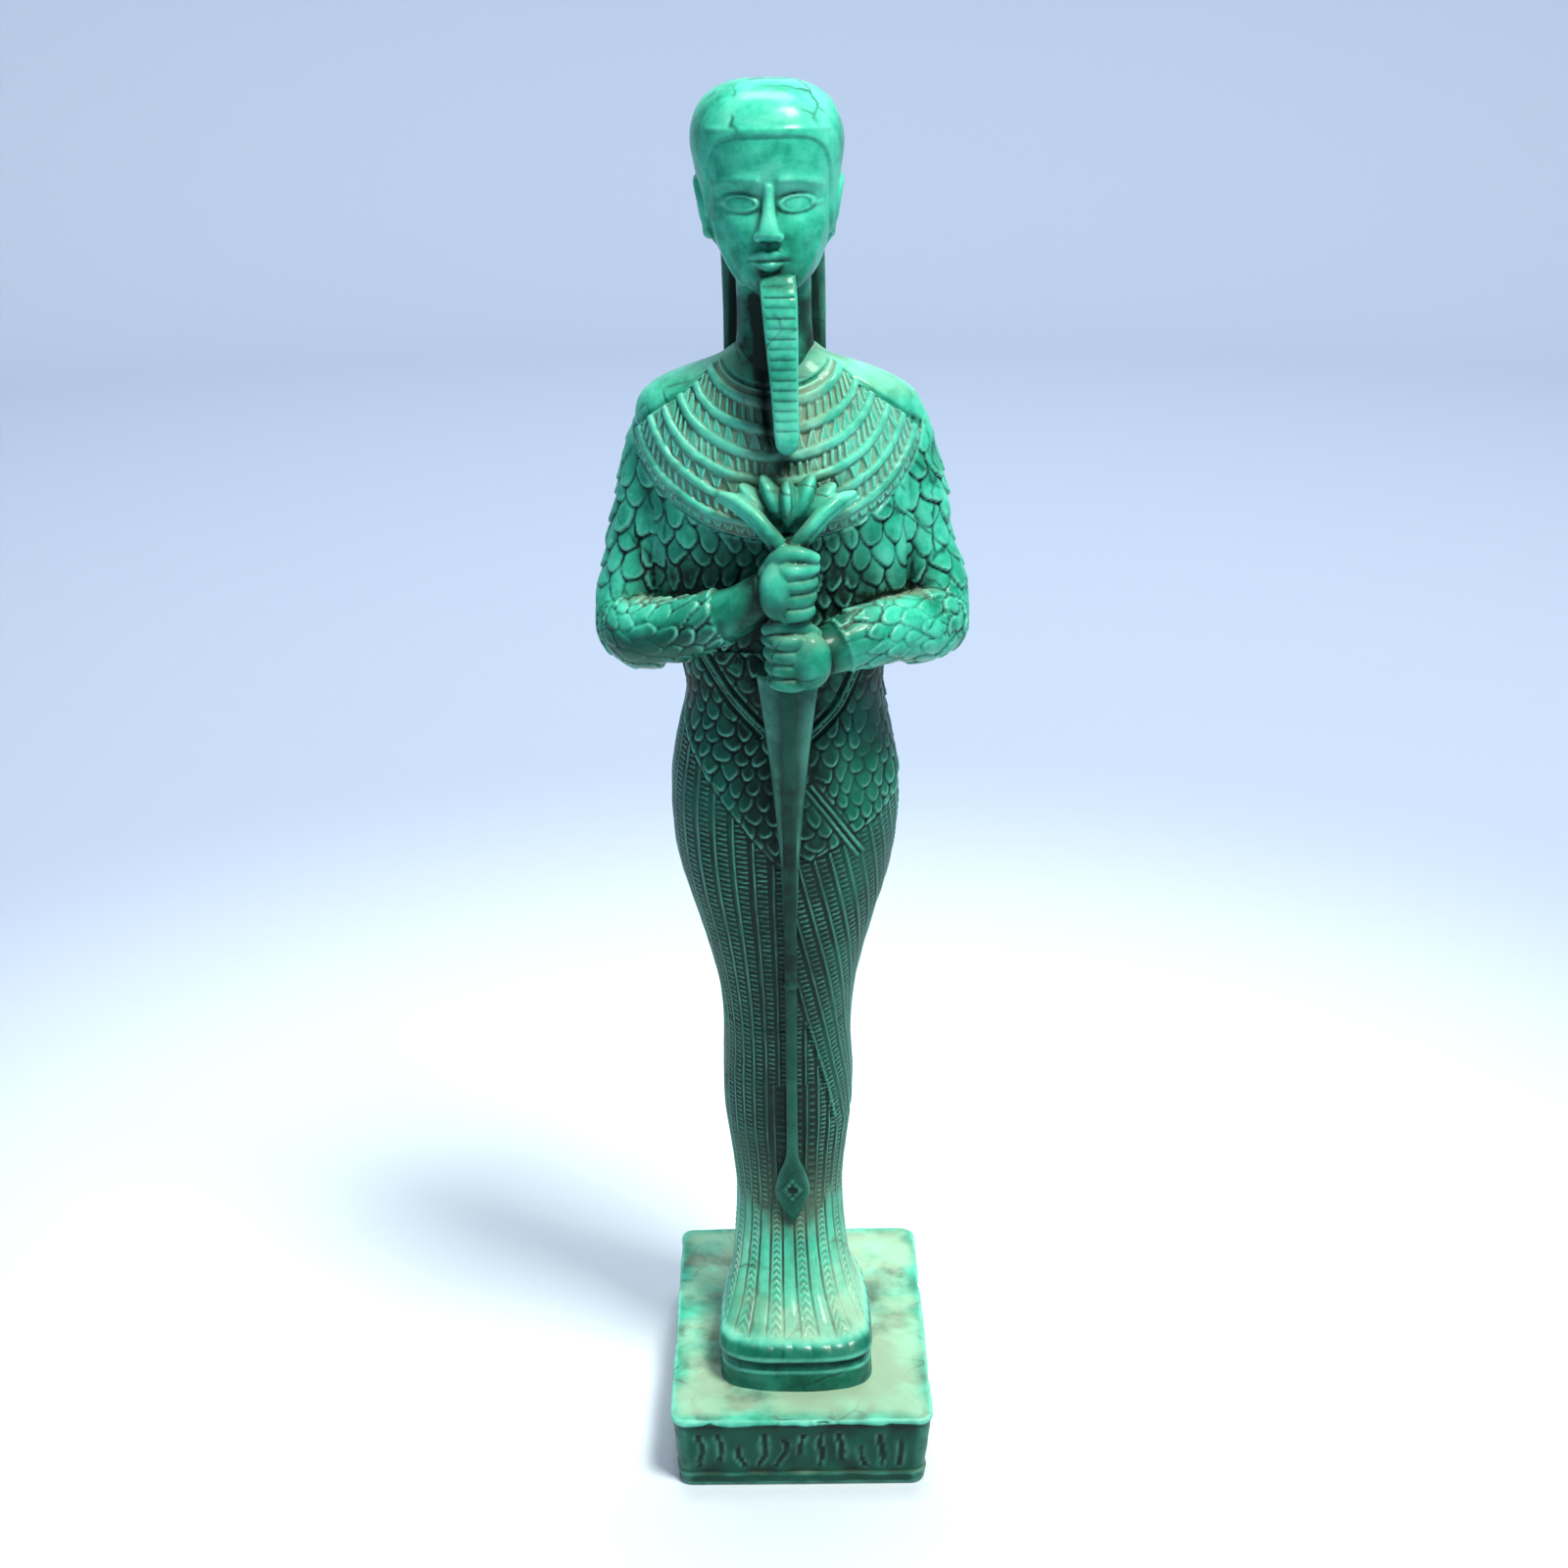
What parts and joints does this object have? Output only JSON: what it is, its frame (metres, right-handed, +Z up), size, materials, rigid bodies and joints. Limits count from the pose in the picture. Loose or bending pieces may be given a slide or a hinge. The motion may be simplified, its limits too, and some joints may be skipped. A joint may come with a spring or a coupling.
{
  "type": "ptah statue",
  "caption": "Standing mummiform figure in a close cap, holding a lotus staff before the chest, on a back pillar and a rectangular plinth, carved in one piece.",
  "frame": {"origin": "middle of the bounding box, on the plinth's underside", "axes": "+Z up through the head, -Y the way the figure looks, +X towards its left hand"},
  "size_m": [0.074, 0.075, 0.28],
  "materials": {
    "green_stone": "polished green stone with dark veins, dusty in the hollows"
  },
  "bodies": {
    "root": {"ptah_statue": "green_stone"}
  },
  "joints": []
}
